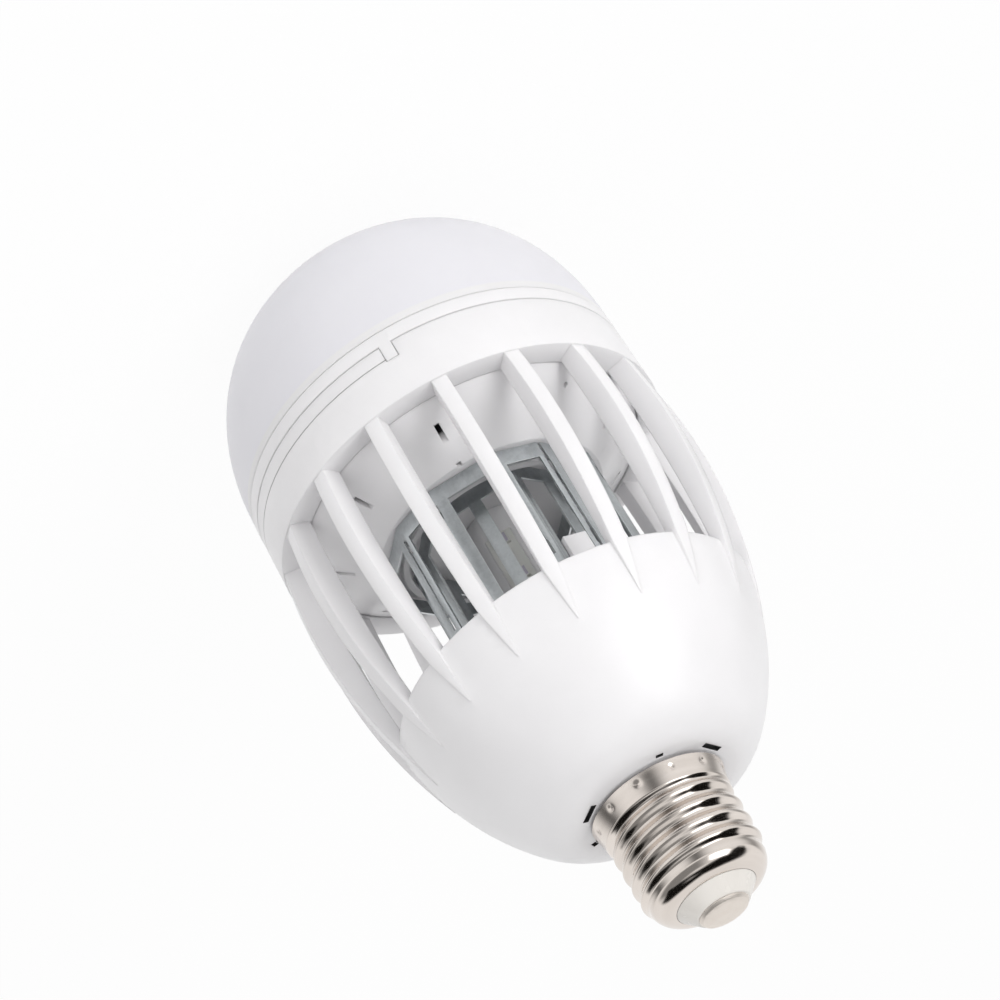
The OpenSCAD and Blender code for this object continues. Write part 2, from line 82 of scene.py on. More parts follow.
scene = bpy.context.scene
scene.view_settings.view_transform = "Standard"
camera = bpy.data.objects.new("camera", bpy.data.cameras.new("camera"))
scene.collection.objects.link(camera)
camera.data.sensor_width = 36
camera.data.lens = 108
camera.data.clip_start = 0.02
rotation = Matrix((CAMERA_RIGHT, CAMERA_UP, -CAMERA_FORWARD)).transposed()
camera.matrix_world = Matrix.Translation(CAMERA_PLACE) @ rotation.to_4x4()
scene.camera = camera
print("camera at", [round(v, 3) for v in CAMERA_PLACE])

# %% [markdown]
# ## Materials
# A material is a small network of nodes. Each one below starts from the Principled shader and
# reads Object coordinates, which stay fixed to the piece, so the pattern never slides. One
# helper makes the shader, another adds a noise, and a third turns a pattern into fine relief.

# %% Helpers for materials
def new_material(name, **sockets):
    material = bpy.data.materials.new(name)
    material.use_nodes = True
    shader = material.node_tree.nodes["Principled BSDF"]
    for socket, value in sockets.items():
        shader.inputs[socket.replace("_", " ")].default_value = value
    return material, shader


def add_node(material, kind, links=(), **values):
    node = material.node_tree.nodes.new(kind)
    for key, value in values.items():
        if key in node.bl_rna.properties:
            setattr(node, key, value)
        else:
            node.inputs[key.replace("_", " ")].default_value = value
    for socket, source in links:
        material.node_tree.links.new(source, node.inputs[socket])
    return node


def object_noise(material, scale, detail=3.0, stretch=(1, 1, 1)):
    place = add_node(material, "ShaderNodeTexCoord")
    mapping = add_node(material, "ShaderNodeMapping", [("Vector", place.outputs["Object"])])
    mapping.inputs["Scale"].default_value = stretch
    return add_node(material, "ShaderNodeTexNoise", [("Vector", mapping.outputs["Vector"])],
                    Scale=scale, Detail=detail)


def ramp(material, source, low, high, start=0.3, end=0.7):
    node = add_node(material, "ShaderNodeValToRGB", [("Fac", source)])
    node.color_ramp.elements[0].position = start
    node.color_ramp.elements[1].position = end
    node.color_ramp.elements[0].color = (*low, 1)
    node.color_ramp.elements[1].color = (*high, 1)
    return node


def spread(material, source, low, high):
    return add_node(material, "ShaderNodeMapRange", [("Value", source)],
                    From_Min=0.3, From_Max=0.7, To_Min=low, To_Max=high)


def relief(material, shader, source, strength, distance, rounding=0.0):
    bump = add_node(material, "ShaderNodeBump", [("Height", source)],
                    Strength=strength, Distance=distance)
    if rounding:
        soft = add_node(material, "ShaderNodeBevel", samples=4, Radius=rounding)
        material.node_tree.links.new(soft.outputs["Normal"], bump.inputs["Normal"])
    material.node_tree.links.new(bump.outputs["Normal"], shader.inputs["Normal"])
    return bump


def moulded_plastic(name, low, high, roughness, grain, glow=0.0, rounding=0.0):
    material, shader = new_material(name, Roughness=roughness, Subsurface_Weight=glow,
                                    Subsurface_Scale=0.004)
    shader.inputs["Subsurface Radius"].default_value = (1, 1, 1)
    link = material.node_tree.links.new
    cloud = object_noise(material, 60)
    link(ramp(material, cloud.outputs["Fac"], low, high).outputs["Color"], shader.inputs["Base Color"])
    sheen = object_noise(material, 300)
    link(spread(material, sheen.outputs["Fac"], roughness - 0.04, roughness + 0.05).outputs["Result"],
         shader.inputs["Roughness"])
    fine = object_noise(material, 4000, detail=2)
    relief(material, shader, fine.outputs["Fac"], grain, 0.00003, rounding)
    return material


def metal(name, low, high, roughness, scale, grain, stretch=(1, 1, 1)):
    material, shader = new_material(name, Metallic=1.0, Roughness=roughness)
    link = material.node_tree.links.new
    cloud = object_noise(material, scale, detail=5, stretch=stretch)
    link(ramp(material, cloud.outputs["Fac"], low, high).outputs["Color"], shader.inputs["Base Color"])
    link(spread(material, cloud.outputs["Fac"], roughness * 0.8, roughness * 1.25).outputs["Result"],
         shader.inputs["Roughness"])
    fine = object_noise(material, scale * 6, detail=3, stretch=stretch)
    relief(material, shader, fine.outputs["Fac"], grain, 0.00004)
    return material


# %% Make the finishes
white_plastic = moulded_plastic("white_plastic", (0.80, 0.79, 0.80), (0.83, 0.82, 0.83), 0.32, 0.12, 0.15, 0.4 * MM)
milky_plastic = moulded_plastic("milky_plastic", (0.80, 0.79, 0.84), (0.82, 0.81, 0.86), 0.42, 0.15, 0.6)
insulator_white = moulded_plastic("insulator_white", (0.70, 0.67, 0.63), (0.74, 0.71, 0.67), 0.25, 0.08)
nickel = metal("nickel", (0.68, 0.62, 0.57), (0.77, 0.71, 0.66), 0.11, 120, 0.22, (0.4, 0.4, 5))
contact_metal = metal("contact_metal", (0.80, 0.74, 0.68), (0.87, 0.81, 0.75), 0.5, 500, 0.35)
cut_edge = metal("cut_edge", (0.60, 0.62, 0.63), (0.74, 0.76, 0.77), 0.35, 900, 0.25)
# Near-black finish for the collar's recesses: painted shade for the dark inside of the slots.
recess_painted_shade = moulded_plastic("recess_painted_shade", (0.010, 0.010, 0.010), (0.016, 0.016, 0.016), 0.6, 0.1)
aluminium = metal("aluminium_plate", (0.70, 0.71, 0.73), (0.78, 0.79, 0.81), 0.35, 300, 0.15, (1, 12, 1))
screw_zinc = metal("screw_zinc", (0.55, 0.56, 0.58), (0.66, 0.67, 0.68), 0.30, 600, 0.20)
print("finishes so far:", len(bpy.data.materials))

# %% [markdown]
# ## The grids' sheet
# Zinc-plated steel has crystals, each with its own brightness, and dull blotches between
# them. A Voronoi texture gives the crystals and a noise the blotches. Both only change the
# colour and the roughness by a little, because the sheet is one metal.

# %% Make the zinc sheet
def zinc_plated(name):
    material, shader = new_material(name, Metallic=1.0)
    link = material.node_tree.links.new
    place = add_node(material, "ShaderNodeTexCoord")
    crystals = add_node(material, "ShaderNodeTexVoronoi", [("Vector", place.outputs["Object"])], Scale=1600.0)
    blotches = object_noise(material, 420, detail=5, stretch=(1, 1, 0.3))
    both = add_node(material, "ShaderNodeMix", data_type="FLOAT")
    both.inputs["Factor"].default_value = 0.8
    link(crystals.outputs["Color"], both.inputs[2])
    link(blotches.outputs["Fac"], both.inputs[3])
    link(ramp(material, both.outputs[0], (0.48, 0.51, 0.52), (0.64, 0.67, 0.685)).outputs["Color"],
         shader.inputs["Base Color"])
    link(spread(material, both.outputs[0], 0.32, 0.46).outputs["Result"], shader.inputs["Roughness"])
    relief(material, shader, blotches.outputs["Fac"], 0.25, 0.00005)
    return material


zinc_sheet = zinc_plated("zinc_sheet")
print("zinc sheet:", len(zinc_sheet.node_tree.nodes), "nodes")

# %% [markdown]
# ## Finishes for what lies inside
# The boards, components and wires are nearly hidden, but each has its own plain finish, so
# that the lamp can be taken apart.

# %% Make the inner finishes
def coated(name, low, high, roughness, grain=0.1):
    return moulded_plastic(name, low, high, roughness, grain)


finishes = {
    "circuit_board": coated("circuit_board", (0.015, 0.10, 0.04), (0.03, 0.15, 0.06), 0.35),
    "white_board": coated("white_board", (0.74, 0.74, 0.71), (0.80, 0.80, 0.77), 0.45),
    "ferrite": coated("ferrite", (0.02, 0.02, 0.022), (0.05, 0.05, 0.052), 0.7, 0.5),
    "dark_sleeve": coated("dark_sleeve", (0.01, 0.012, 0.03), (0.02, 0.022, 0.045), 0.25),
    "orange_epoxy": coated("orange_epoxy", (0.42, 0.09, 0.01), (0.55, 0.14, 0.02), 0.3),
    "black_epoxy": coated("black_epoxy", (0.008, 0.008, 0.008), (0.02, 0.02, 0.02), 0.5),
    "green_lacquer": coated("green_lacquer", (0.02, 0.12, 0.06), (0.04, 0.18, 0.10), 0.3),
    "red_insulation": coated("red_insulation", (0.40, 0.01, 0.01), (0.52, 0.02, 0.02), 0.4),
    "black_insulation": coated("black_insulation", (0.01, 0.01, 0.01), (0.02, 0.02, 0.02), 0.4),
    "white_insulation": coated("white_insulation", (0.70, 0.70, 0.68), (0.78, 0.78, 0.76), 0.4),
    "phosphor": coated("phosphor", (0.80, 0.60, 0.15), (0.88, 0.70, 0.22), 0.3),
    "violet_led": coated("violet_led", (0.56, 0.53, 0.62), (0.62, 0.59, 0.68), 0.2),
    "nickel": nickel,
    "contact_metal": contact_metal,
    "white_plastic": white_plastic,
    "insulator_white": insulator_white,
    "milky_plastic": milky_plastic,
    "zinc_sheet": zinc_sheet,
    "aluminium_plate": aluminium,
    "zinc_screw": screw_zinc,
}
slot_of = {row["node"]: row["material_slot"] for row in frame["record"]["subparts"]}
for name, piece in nodes.items():
    piece.data.materials.clear()
    piece.data.materials.append(finishes[slot_of[name]])
print("finishes:", len(finishes))

# %% [markdown]
# ## Dressing a CAD piece
# The CAD mesh is loose triangles. A merged copy of it can be smoothed, and its sharp edges can
# be rounded a little with a bevel, as a mould or a press leaves them. The flat faces are joined
# first, because a bevel runs clean only along whole faces.

# %% Helper that makes a dressed copy
def finish_piece(piece, node, slot, *materials):
    piece.data.materials.clear()
    for material in materials:
        piece.data.materials.append(material)
    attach(piece, "root")
    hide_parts(node)


def smooth_by_angle(mesh, angle):
    mesh.shade_smooth()
    mesh.set_sharp_from_angle(angle=math.radians(angle))


def dressed_copy(node, name, width, segments=2, sharpest=35, shape=None):
    """A merged, bevelled and smoothed copy of one CAD node, shaped first where a function is given."""
    mesh = bpy.data.meshes.new(name)
    work = bmesh.new()
    work.from_mesh(nodes[node].data)
    bmesh.ops.remove_doubles(work, verts=work.verts, dist=0.000002)
    if shape:
        shape(work)
    bmesh.ops.dissolve_limit(work, angle_limit=math.radians(0.4), verts=work.verts, edges=work.edges)
    sharp = [e for e in work.edges if len(e.link_faces) == 2
             and e.calc_face_angle(0) > math.radians(sharpest)]
    if width:
        bmesh.ops.bevel(work, geom=sharp, offset=width, segments=segments, profile=0.5,
                        affect="EDGES", clamp_overlap=True)
    work.to_mesh(mesh)
    work.free()
    smooth_by_angle(mesh, 30)
    piece = bpy.data.objects.new(name, mesh)
    scene.collection.objects.link(piece)
    print(name, "faces:", len(mesh.polygons), "bevelled edges:", len(sharp))
    return piece


# %% [markdown]
# ## The housing's softer forms
# The photograph shows two forms of the housing softer than the engineering model has them. The
# bowl's shoulder rounds into the collar along a curve, and each rib narrows to a point where it
# ends on the bowl. Both only move points of the copy, inward and round the axis. The finish adds
# a fine groove round one half of the band, from the ring's tab to the other side, and darkens the
# groove's colour as painted shade.

# %% Shape the housing
RIB_COUNT = 17
RIB_HALF = 1.6
RIB_FOOT_D = 49.5
LIP_D = 60.4
BOWL_ARC_R = 57.0
BOWL_ARC_MIDDLE = (-18.19, 69.06)
COLLAR_EDGE = (16.7, 27.5)
CREASE = (21.3, 27.95)
SHOULDER_CONTROL = (21.89, 28.0)
SHOULDER_R_END = 26.0


def bowl_depth(radius):
    return BOWL_ARC_MIDDLE[1] - math.sqrt(BOWL_ARC_R ** 2 - (radius - BOWL_ARC_MIDDLE[0]) ** 2)


def bowl_radius(depth):
    return BOWL_ARC_MIDDLE[0] + math.sqrt(BOWL_ARC_R ** 2 - (BOWL_ARC_MIDDLE[1] - depth) ** 2)


def model_depth(radius):
    """The depth of the engineering model's outer face at a radius near the collar."""
    if radius > CREASE[0]:
        return bowl_depth(radius)
    share = (radius - COLLAR_EDGE[0]) / (CREASE[0] - COLLAR_EDGE[0])
    return COLLAR_EDGE[1] + share * (CREASE[1] - COLLAR_EDGE[1])


def shoulder_depth(radius):
    """The depth of a curve with three control points, found by halving the step."""
    start, control, end = COLLAR_EDGE, SHOULDER_CONTROL, (SHOULDER_R_END, bowl_depth(SHOULDER_R_END))
    low, high = 0.0, 1.0
    for _ in range(30):
        t = (low + high) / 2
        here = (1 - t) ** 2 * start[0] + 2 * t * (1 - t) * control[0] + t * t * end[0]
        low, high = (t, high) if here < radius else (low, t)
    return (1 - t) ** 2 * start[1] + 2 * t * (1 - t) * control[1] + t * t * end[1]


def shape_housing(work):
    cone_cuts = [COLLAR_EDGE[1] + (CREASE[1] - COLLAR_EDGE[1]) * k / 6 for k in range(1, 7)]
    bowl_cuts = [CREASE[1] + (bowl_depth(SHOULDER_R_END) - CREASE[1]) * k / 8 for k in range(1, 9)]
    for depth in cone_cuts + bowl_cuts:
        everything = work.verts[:] + work.edges[:] + work.faces[:]
        bmesh.ops.bisect_plane(work, geom=everything, dist=0.000001,
                               plane_co=(0, 0, -depth * MM), plane_no=(0, 0, 1))
    moved = narrowed = 0
    for vert in work.verts:
        radius = math.hypot(vert.co.x, vert.co.y) / MM
        depth = -vert.co.z / MM
        if COLLAR_EDGE[0] < radius < SHOULDER_R_END and abs(depth - model_depth(radius)) < 0.04:
            vert.co.z = -shoulder_depth(radius) * MM
            moved += 1
        elif RIB_FOOT_D - 0.2 < depth < LIP_D and radius > bowl_radius(depth) - 0.05:
            angle = math.atan2(vert.co.y, vert.co.x) + math.pi / 2
            step = math.tau / RIB_COUNT
            middle = (math.floor(angle / step) + 0.5) * step
            across = radius * math.sin(angle - middle)
            if abs(across) < RIB_HALF + 0.03:
                share = max((depth - RIB_FOOT_D) / (LIP_D - RIB_FOOT_D), 0.0)
                width = 0.08 + 0.92 * share ** 0.85
                angle = middle + math.asin(across * width / radius) - math.pi / 2
                vert.co.x, vert.co.y = radius * MM * math.cos(angle), radius * MM * math.sin(angle)
                narrowed += 1
    print("shoulder points:", moved, "rib foot points:", narrowed)


# %% Make the housing's finish
GROOVE_D = 116.4
GROOVE_HALF = 0.17
GROOVE_DEEP = 0.2
GROOVE_END_X = -2.2


def band_groove(material):
    """Adds a groove to a finish, at one depth and on the side where X is above a limit: a bump for its relief, and
    painted shade that darkens its colour towards grey.
    """
    shader = material.node_tree.nodes["Principled BSDF"]
    link = material.node_tree.links.new
    place = add_node(material, "ShaderNodeTexCoord")
    split = add_node(material, "ShaderNodeSeparateXYZ", [("Vector", place.outputs["Object"])])
    above = add_node(material, "ShaderNodeMath", [(0, split.outputs["Z"])], operation="ADD")
    above.inputs[1].default_value = GROOVE_D * MM
    away = add_node(material, "ShaderNodeMath", [(0, above.outputs[0])], operation="ABSOLUTE")
    profile = add_node(material, "ShaderNodeMapRange", [("Value", away.outputs[0])],
                       interpolation_type="SMOOTHSTEP", From_Min=0.0, From_Max=GROOVE_HALF * MM, To_Min=1.0, To_Max=0.0)
    side = add_node(material, "ShaderNodeMath", [(0, split.outputs["X"])], operation="GREATER_THAN")
    side.inputs[1].default_value = GROOVE_END_X * MM
    groove = add_node(material, "ShaderNodeMath", [(0, profile.outputs["Result"]), (1, side.outputs[0])],
                      operation="MULTIPLY")
    grain = shader.inputs["Normal"].links[0].from_socket
    cut = add_node(material, "ShaderNodeBump", [("Height", groove.outputs[0]), ("Normal", grain)],
                   Strength=1.0, Distance=GROOVE_DEEP * MM)
    cut.invert = True
    link(cut.outputs["Normal"], shader.inputs["Normal"])
    tint = shader.inputs["Base Color"].links[0].from_socket
    # Painted shade: the groove's colour is mixed towards dark grey.
    groove_painted_shade = add_node(material, "ShaderNodeMix", [("Factor", groove.outputs[0])], data_type="RGBA")
    link(tint, groove_painted_shade.inputs[6])
    groove_painted_shade.inputs[7].default_value = (0.42, 0.42, 0.42, 1)
    link(groove_painted_shade.outputs[2], shader.inputs["Base Color"])


housing_plastic = white_plastic.copy()
housing_plastic.name = "housing_plastic"
band_groove(housing_plastic)

# %% Dress the white mouldings
housing = dressed_copy("cage_housing", "cage_housing_moulding", 0.2 * MM, 2, shape=shape_housing)
finish_piece(housing, "cage_housing", "white_plastic", housing_plastic, recess_painted_shade)
# The recess faces round the collar get the near-black finish, painted shade for the slots' dark inside.
for face in housing.data.polygons:
    radius = math.hypot(face.center.x, face.center.y) / MM
    depth = -face.center.z / MM
    face.material_index = 1 if 14.2 < radius < 15.8 and 27.55 < depth < 28.5 else 0
for node, width in (("base_plate", 0.2), ("grid_cover", 0.2), ("lamp_ring", 0.12)):
    finish_piece(dressed_copy(node, node + "_moulding", width * MM, 3), node, "white_plastic", white_plastic)

# %% Dress the smaller pieces
SMALL_BEVELS = {"cap_insulator": 0.15, "cap_contact": 0.12, "core_tube": 0.15, "base_screws": 0.1, "board_screws": 0.1,
                "driver_board": 0.1, "smoothing_capacitor": 0.4, "hv_transformer": 0.15, "film_capacitors": 0.8,
                "bridge_rectifier": 0.25, "heat_sink": 0.15, "light_board": 0.1}
for node, width in SMALL_BEVELS.items():
    finish_piece(dressed_copy(node, node + "_dressed", width * MM, 2), node, slot_of[node], finishes[slot_of[node]])

# %% [markdown]
# ## The diodes
# The diodes repeat, so a node tree places them instead of a loop. The tree makes a ring of
# points, puts one part on each and turns it to face outwards. Its inputs are the number in
# the ring, the ring's radius and level, and the part. Each modifier adds one more ring.

# %% Build the ring tree
def ring_tree():
    tree = bpy.data.node_groups.new("ring_of_parts", "GeometryNodeTree")
    make, link = tree.nodes.new, tree.links.new
    tree.interface.new_socket("Geometry", in_out="INPUT", socket_type="NodeSocketGeometry")
    for label, kind in (("Count", "Int"), ("Radius", "Float"), ("Level", "Float"), ("Part", "Object"),
                        ("Body finish", "Material"), ("Lens finish", "Material")):
        tree.interface.new_socket(label, in_out="INPUT", socket_type="NodeSocket" + kind)
    tree.interface.new_socket("Geometry", in_out="OUTPUT", socket_type="NodeSocketGeometry")
    given, result = make("NodeGroupInput"), make("NodeGroupOutput")
    circle, lift, place = make("GeometryNodeMeshCircle"), make("ShaderNodeCombineXYZ"), make("GeometryNodeSetPosition")
    link(given.outputs["Count"], circle.inputs["Vertices"])
    link(given.outputs["Radius"], circle.inputs["Radius"])
    link(given.outputs["Level"], lift.inputs["Z"])
    link(circle.outputs["Mesh"], place.inputs["Geometry"])
    link(lift.outputs["Vector"], place.inputs["Offset"])
    index, share, turn = make("GeometryNodeInputIndex"), make("ShaderNodeMath"), make("ShaderNodeMath")
    share.operation = "DIVIDE"
    turn.operation = "MULTIPLY"
    turn.inputs[1].default_value = math.tau
    link(index.outputs["Index"], share.inputs[0])
    link(given.outputs["Count"], share.inputs[1])
    link(share.outputs["Value"], turn.inputs[0])
    facing, part, spread_out = make("ShaderNodeCombineXYZ"), make("GeometryNodeObjectInfo"), make("GeometryNodeInstanceOnPoints")
    link(turn.outputs["Value"], facing.inputs["Z"])
    link(given.outputs["Part"], part.inputs["Object"])
    link(place.outputs["Geometry"], spread_out.inputs["Points"])
    link(part.outputs["Geometry"], spread_out.inputs["Instance"])
    link(facing.outputs["Vector"], spread_out.inputs["Rotation"])
    solid, body, lens = make("GeometryNodeRealizeInstances"), make("GeometryNodeSetMaterial"), make("GeometryNodeSetMaterial")
    marked, both = make("GeometryNodeInputNamedAttribute"), make("GeometryNodeJoinGeometry")
    marked.data_type = "BOOLEAN"
    marked.inputs["Name"].default_value = "lens"
    link(spread_out.outputs["Instances"], solid.inputs["Geometry"])
    link(solid.outputs["Geometry"], body.inputs["Geometry"])
    link(given.outputs["Body finish"], body.inputs["Material"])
    link(body.outputs["Geometry"], lens.inputs["Geometry"])
    link(given.outputs["Lens finish"], lens.inputs["Material"])
    link(marked.outputs["Attribute"], lens.inputs["Selection"])
    link(given.outputs["Geometry"], both.inputs["Geometry"])
    link(lens.outputs["Geometry"], both.inputs["Geometry"])
    link(both.outputs["Geometry"], result.inputs["Geometry"])
    return tree


def diode_part(size, out_axis, body):
    """One diode: a box with a lens face set into its outer side."""
    mesh = bpy.data.meshes.new("diode_part")
    work = bmesh.new()
    mark = work.faces.layers.bool.new("lens")
    bmesh.ops.create_cube(work, size=1)
    for vert in work.verts:
        vert.co = Vector([c * s for c, s in zip(vert.co, size)])
        vert.co[out_axis[0]] += out_axis[1] * size[out_axis[0]] / 2
    outward = [f for f in work.faces if f.normal[out_axis[0]] * out_axis[1] > 0.9]
    inset = min(size[i] for i in range(3) if i != out_axis[0]) * 0.12
    bmesh.ops.inset_region(work, faces=outward, thickness=inset, depth=0)
    bmesh.ops.inset_region(work, faces=outward, thickness=inset * 0.3, depth=-0.08 * MM)
    for face in outward:
        face[mark] = True
    work.to_mesh(mesh)
    work.free()
    mesh.materials.append(body)
    part = bpy.data.objects.new("diode_part", mesh)
    scene.collection.objects.link(part)
    return part


def piece_from_rings(name, tree, rings, part, body, lens):
    holder = bpy.data.objects.new(name + "_holder", bpy.data.meshes.new(name + "_holder"))
    scene.collection.objects.link(holder)
    sockets = {s.name: s.identifier for s in tree.interface.items_tree if s.in_out == "INPUT"}
    for count, radius, level in rings:
        modifier = holder.modifiers.new("ring", "NODES")
        modifier.node_group = tree
        for label, value in (("Count", count), ("Radius", radius * MM), ("Level", -level * MM), ("Part", part),
                             ("Body finish", body), ("Lens finish", lens)):
            modifier[sockets[label]] = value
    depsgraph = bpy.context.evaluated_depsgraph_get()
    mesh = bpy.data.meshes.new_from_object(holder.evaluated_get(depsgraph), depsgraph=depsgraph)
    bpy.data.objects.remove(holder)
    bpy.data.objects.remove(part)
    mesh.name = name
    piece = bpy.data.objects.new(name, mesh)
    scene.collection.objects.link(piece)
    print(name, "faces:", len(mesh.polygons), "materials:", [m.name for m in mesh.materials])
    return piece


# %% Place the diodes
rings_of_parts = ring_tree()
light_rings = ((18, 24.5, 120.9), (9, 14.4, 120.9))
light_diodes = piece_from_rings("light_diodes", rings_of_parts, light_rings,
                                diode_part(Vector((3.5, 2.8, 0.7)) * MM, (2, -1), finishes["white_board"]),
                                finishes["white_board"], finishes["phosphor"])
uv_rings = [(4, 6.0, 72.4 + 9 * k) for k in range(3)]
uv_diodes = piece_from_rings("uv_diodes", rings_of_parts, uv_rings,
                             diode_part(Vector((0.7, 3.5, 2.8)) * MM, (0, 1), finishes["white_board"]),
                             finishes["white_board"], finishes["violet_led"])
for piece, node in ((light_diodes, "light_leds"), (uv_diodes, "uv_leds")):
    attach(piece, "root")
    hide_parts(node)

# %% [markdown]
# ## The screw cap
# The cap is thin brass pressed into a screw and plated with nickel. Its surface follows one
# rule: a radius for each depth and each angle. The thread is a wave that climbs round the
# cap, and it fades out at both ends as on a rolled thread. The skirt has small dimples where
# it is staked to the neck.

# %% Shape the screw cap
THREAD_TOP = 23.12
PITCH = 3.63
ROOT_R = 12.13
CREST_R = 13.15
THREAD_START = 7.6
THREAD_END = 22.9
SHOULDER_D = 3.9
SHOULDER_R = 8.3
SHOULDER_ARC = 4.0
RIM_D = 26.7
STAKES = 12
STAKE_D = 25.2
FIRST_STAKE = math.radians(-85.4)


def smoothstep(low, high, value):
    t = min(max((value - low) / (high - low), 0.0), 1.0)
    return t * t * (3 - 2 * t)


def cap_radius(depth, angle):
    if depth < SHOULDER_D + SHOULDER_ARC:
        rise = SHOULDER_ARC - (depth - SHOULDER_D)
        base = SHOULDER_R + math.sqrt(max(SHOULDER_ARC ** 2 - rise ** 2, 0))
    else:
        base = SHOULDER_R + SHOULDER_ARC
    root = ROOT_R + (13.3 - ROOT_R) * smoothstep(THREAD_END - 1.6, THREAD_END, depth)
    base = min(base, ROOT_R) if depth < THREAD_START + 2 else root
    base = root if depth > THREAD_START + 2 else base
    flare = 0.8 * max((depth - THREAD_END) / (RIM_D - THREAD_END), 0.0) ** 1.5
    wave = 0.5 + 0.5 * math.cos(angle - math.tau * (THREAD_TOP - depth) / PITCH)
    fade = smoothstep(THREAD_START - 1.0, THREAD_START + 1.6, depth) * (1 - smoothstep(THREAD_END - 1.8, THREAD_END, depth))
    radius = base + (CREST_R - ROOT_R) * wave * fade + flare
    if depth > THREAD_END:
        step = math.tau / STAKES
        turn = (angle - FIRST_STAKE + step / 2) % step - step / 2
        away = math.hypot(turn * radius, depth - STAKE_D)
        radius -= 0.24 * math.exp(-(away / 0.6) ** 2)
    return radius


def build_cap():
    around = 360
    depths = [SHOULDER_D + SHOULDER_ARC * (1 - math.cos(math.pi / 2 * i / 16)) for i in range(16)]
    depths += [SHOULDER_D + SHOULDER_ARC + 0.13 * i for i in range(146)]
    depths = [d for d in depths if d < RIM_D] + [RIM_D]
    mesh = bpy.data.meshes.new("cap_shell_pressed")
    work = bmesh.new()
    rings = []
    wall = 0.3
    for depth in depths:
        ring = []
        for k in range(around):
            angle = math.tau * k / around
            radius = cap_radius(depth, angle)
            ring.append(work.verts.new(Vector((radius * math.cos(angle), radius * math.sin(angle), -depth)) * MM))
        rings.append(ring)
    inner = [(cap_radius(RIM_D, 0) - wall, RIM_D), (12.2, RIM_D - 2.2), (11.8, RIM_D - 3.2), (11.8, 8.0),
             (11.5, 6.2), (10.6, 5.0), (9.4, 4.5), (SHOULDER_R, 4.4)]
    for radius, depth in inner:
        rings.append([work.verts.new(Vector((radius * math.cos(math.tau * k / around),
                                             radius * math.sin(math.tau * k / around), -depth)) * MM)
                      for k in range(around)])
    rings.append(rings[0])
    for low, high in zip(rings, rings[1:]):
        for k in range(around):
            n = (k + 1) % around
            work.faces.new((low[k], high[k], high[n], low[n]))
    bmesh.ops.recalc_face_normals(work, faces=work.faces)
    work.to_mesh(mesh)
    work.free()
    smooth_by_angle(mesh, 50)
    piece = bpy.data.objects.new("cap_shell_pressed", mesh)
    scene.collection.objects.link(piece)
    return piece


cap = build_cap()
finish_piece(cap, "cap_shell", "nickel", nickel)
print("cap faces:", len(cap.data.polygons))

# %% [markdown]
# ## The grids
# The sheet's broad faces are plated. Its cut edges are bare and brighter, so the faces whose
# direction isn't that of a broad face get a second material.

# %% Dress the grids
def dress_grid(node, name, turn, step):
    piece = dressed_copy(node, name, 0.06 * MM, 2)
    finish_piece(piece, node, "zinc_sheet", zinc_sheet, cut_edge)
    bright = 0
    for face in piece.data.polygons:
        angle = math.degrees(math.atan2(face.normal.y, face.normal.x)) - turn
        off_facet = abs((angle + step / 2) % step - step / 2)
        flat = abs(face.normal.z) < 0.1 and off_facet < 4
        face.material_index = 0 if flat else 1
        bright += not flat
    print(name, "edge faces:", bright)
    return piece


dress_grid("outer_grid", "outer_grid_sheet", -92, 30)
dress_grid("inner_grid", "inner_grid_sheet", -90, 60)

# %% [markdown]
# ## The milky dome
# The dome is a solid of revolution whose outline lies between a circle and a square: a
# superellipse. The wall is made by a second outline inside the first.

# %% Shape the dome
DOME_R = 42.1
DOME_D = 124.5
DOME_H = 43.0
DOME_POWER = 2.24
DOME_WALL = 1.5
RIM_TOP = 123.2
WHITE_RIM_D = 124.9


def dome_outline(radius, height, steps):
    points = []
    for i in range(steps + 1):
        a = math.pi / 2 * i / steps
        points.append((radius * math.cos(a) ** (2 / DOME_POWER) if i < steps else 0.0,
                       DOME_D + height * math.sin(a) ** (2 / DOME_POWER)))
    return points


def lathe(name, outline, around=192):
    """Turns an outline of radius and depth pairs round the axis; a radius of zero is a pole."""
    mesh = bpy.data.meshes.new(name)
    work = bmesh.new()
    rings = []
    for radius, depth in outline:
        if radius < 0.0001:
            rings.append([work.verts.new((0, 0, -depth * MM))])
        else:
            rings.append([work.verts.new(Vector((radius * math.cos(math.tau * k / around),
                                                 radius * math.sin(math.tau * k / around), -depth)) * MM)
                          for k in range(around)])
    for low, high in zip(rings, rings[1:]):
        for k in range(around):
            n = (k + 1) % around
            if len(low) == 1:
                work.faces.new((low[0], high[k], high[n]))
            elif len(high) == 1:
                work.faces.new((low[k], high[0], low[n]))
            else:
                work.faces.new((low[k], high[k], high[n], low[n]))
    bmesh.ops.recalc_face_normals(work, faces=work.faces)
    work.to_mesh(mesh)
    work.free()
    smooth_by_angle(mesh, 40)
    piece = bpy.data.objects.new(name, mesh)
    scene.collection.objects.link(piece)
    return piece


def painted_rim_light(material):
    """Painted light: the lamp ring behind the dome's rim keeps the light out of it, so the rim looks white, and that
    whiter band is painted into the colour.
    """
    shader = material.node_tree.nodes["Principled BSDF"]
    place = add_node(material, "ShaderNodeTexCoord")
    split = add_node(material, "ShaderNodeSeparateXYZ", [("Vector", place.outputs["Object"])])
    rim = add_node(material, "ShaderNodeMapRange", [("Value", split.outputs["Z"])],
                   interpolation_type="SMOOTHSTEP", From_Min=-(WHITE_RIM_D + 0.3) * MM,
                   From_Max=-(WHITE_RIM_D - 0.3) * MM, To_Min=0.0, To_Max=1.0)
    tint = shader.inputs["Base Color"].links[0].from_socket
    mix = add_node(material, "ShaderNodeMix", [(0, rim.outputs["Result"]), (6, tint)], data_type="RGBA")
    # The rim's whiter colour, painted light.
    mix.inputs[7].default_value = (0.83, 0.82, 0.83, 1)
    material.node_tree.links.new(mix.outputs[2], shader.inputs["Base Color"])


